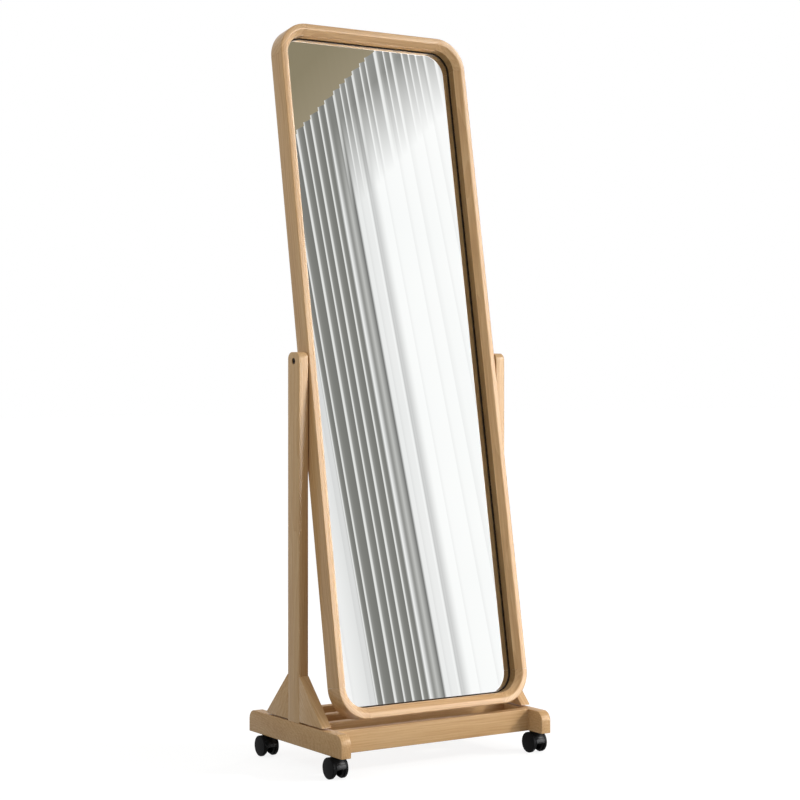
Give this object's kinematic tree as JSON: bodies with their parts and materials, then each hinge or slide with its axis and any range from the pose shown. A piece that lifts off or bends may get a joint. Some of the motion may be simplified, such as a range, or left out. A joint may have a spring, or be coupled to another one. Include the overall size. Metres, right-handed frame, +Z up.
{
  "type": "rolling floor mirror",
  "caption": "Tall floor mirror in a rounded moulded wooden frame that tilts between two posts on a slatted wooden base with swivel twin-wheel casters.",
  "frame": {"origin": "on the floor under the middle of the base, straight below the mirror's tilt axis", "axes": "+X to the right of someone who faces the glass, +Y to the rear, +Z up"},
  "size_m": [0.5394, 0.378, 1.5639],
  "materials": {
    "oak": "pale ash-like solid wood, clear satin lacquer",
    "mirror_silver": "silvered float glass",
    "black_seal": "matt black strip",
    "hardboard": "plain brown hardboard",
    "zinc_steel": "zinc-plated steel",
    "black_steel": "black oxide steel",
    "brass": "machined brass",
    "white_nylon": "natural nylon",
    "black_plastic": "satin moulded black plastic"
  },
  "bodies": {
    "base": {"post_left": "oak", "post_right": "oak", "foot_left": "oak", "foot_right": "oak", "gusset_front_left": "oak", "gusset_rear_left": "oak", "gusset_front_right": "oak", "gusset_rear_right": "oak", "cross_rail_1": "oak", "cross_rail_2": "oak", "cross_rail_3": "oak", "cross_rail_4": "oak", "foot_bolt_left": "black_steel", "foot_bolt_right": "black_steel", "caster_stem_front_left": "zinc_steel", "caster_stem_rear_left": "zinc_steel", "caster_stem_front_right": "zinc_steel", "caster_stem_rear_right": "zinc_steel"},
    "mirror": {"frame_stile_left": "oak", "frame_stile_right": "oak", "frame_rail_top": "oak", "frame_rail_bottom": "oak", "frame_corner_top_left": "oak", "frame_corner_top_right": "oak", "frame_corner_bottom_left": "oak", "frame_corner_bottom_right": "oak", "mirror_glass": "mirror_silver", "glass_seal": "black_seal", "backing_board": "hardboard", "back_clip_stile_left_1": "zinc_steel", "back_clip_stile_left_2": "zinc_steel", "back_clip_stile_left_3": "zinc_steel", "back_clip_stile_right_1": "zinc_steel", "back_clip_stile_right_2": "zinc_steel", "back_clip_stile_right_3": "zinc_steel", "back_clip_rail_top_1": "zinc_steel", "back_clip_rail_bottom_1": "zinc_steel", "pivot_bolt_left": "black_steel", "pivot_spacer_left": "white_nylon", "pivot_insert_left": "brass", "pivot_bolt_right": "black_steel", "pivot_spacer_right": "white_nylon", "pivot_insert_right": "brass"},
    "caster_front_left": {"caster_hood_front_left": "black_plastic", "caster_axle_front_left": "zinc_steel"},
    "wheel_outer_front_left": {"caster_wheel_outer_front_left": "black_plastic"},
    "wheel_inner_front_left": {"caster_wheel_inner_front_left": "black_plastic"},
    "caster_rear_left": {"caster_hood_rear_left": "black_plastic", "caster_axle_rear_left": "zinc_steel"},
    "wheel_outer_rear_left": {"caster_wheel_outer_rear_left": "black_plastic"},
    "wheel_inner_rear_left": {"caster_wheel_inner_rear_left": "black_plastic"},
    "caster_front_right": {"caster_hood_front_right": "black_plastic", "caster_axle_front_right": "zinc_steel"},
    "wheel_outer_front_right": {"caster_wheel_outer_front_right": "black_plastic"},
    "wheel_inner_front_right": {"caster_wheel_inner_front_right": "black_plastic"},
    "caster_rear_right": {"caster_hood_rear_right": "black_plastic", "caster_axle_rear_right": "zinc_steel"},
    "wheel_outer_rear_right": {"caster_wheel_outer_rear_right": "black_plastic"},
    "wheel_inner_rear_right": {"caster_wheel_inner_rear_right": "black_plastic"}
  },
  "joints": [
    {"name": "mirror_tilt", "type": "hinge", "parent": "base", "child": "mirror", "pos_m": [0, 0, 0.83953], "axis": [-1, 0, 0], "continuous": true},
    {"name": "swivel_front_left", "type": "hinge", "parent": "base", "child": "caster_front_left", "pos_m": [-0.25075, -0.1405, 0.0455], "axis": [0, 0, 1], "continuous": true},
    {"name": "roll_outer_front_left", "type": "hinge", "parent": "caster_front_left", "child": "wheel_outer_front_left", "pos_m": [-0.26405, -0.1475, 0.022], "axis": [1, 0, 0], "continuous": true},
    {"name": "roll_inner_front_left", "type": "hinge", "parent": "caster_front_left", "child": "wheel_inner_front_left", "pos_m": [-0.23745, -0.1475, 0.022], "axis": [1, 0, 0], "continuous": true},
    {"name": "swivel_rear_left", "type": "hinge", "parent": "base", "child": "caster_rear_left", "pos_m": [-0.25075, 0.1405, 0.0455], "axis": [0, 0, 1], "continuous": true},
    {"name": "roll_outer_rear_left", "type": "hinge", "parent": "caster_rear_left", "child": "wheel_outer_rear_left", "pos_m": [-0.26405, 0.1335, 0.022], "axis": [1, 0, 0], "continuous": true},
    {"name": "roll_inner_rear_left", "type": "hinge", "parent": "caster_rear_left", "child": "wheel_inner_rear_left", "pos_m": [-0.23745, 0.1335, 0.022], "axis": [1, 0, 0], "continuous": true},
    {"name": "swivel_front_right", "type": "hinge", "parent": "base", "child": "caster_front_right", "pos_m": [0.25075, -0.1405, 0.0455], "axis": [0, 0, 1], "continuous": true},
    {"name": "roll_outer_front_right", "type": "hinge", "parent": "caster_front_right", "child": "wheel_outer_front_right", "pos_m": [0.26405, -0.1475, 0.022], "axis": [1, 0, 0], "continuous": true},
    {"name": "roll_inner_front_right", "type": "hinge", "parent": "caster_front_right", "child": "wheel_inner_front_right", "pos_m": [0.23745, -0.1475, 0.022], "axis": [1, 0, 0], "continuous": true},
    {"name": "swivel_rear_right", "type": "hinge", "parent": "base", "child": "caster_rear_right", "pos_m": [0.25075, 0.1405, 0.0455], "axis": [0, 0, 1], "continuous": true},
    {"name": "roll_outer_rear_right", "type": "hinge", "parent": "caster_rear_right", "child": "wheel_outer_rear_right", "pos_m": [0.26405, 0.1335, 0.022], "axis": [1, 0, 0], "continuous": true},
    {"name": "roll_inner_rear_right", "type": "hinge", "parent": "caster_rear_right", "child": "wheel_inner_rear_right", "pos_m": [0.23745, 0.1335, 0.022], "axis": [1, 0, 0], "continuous": true}
  ]
}
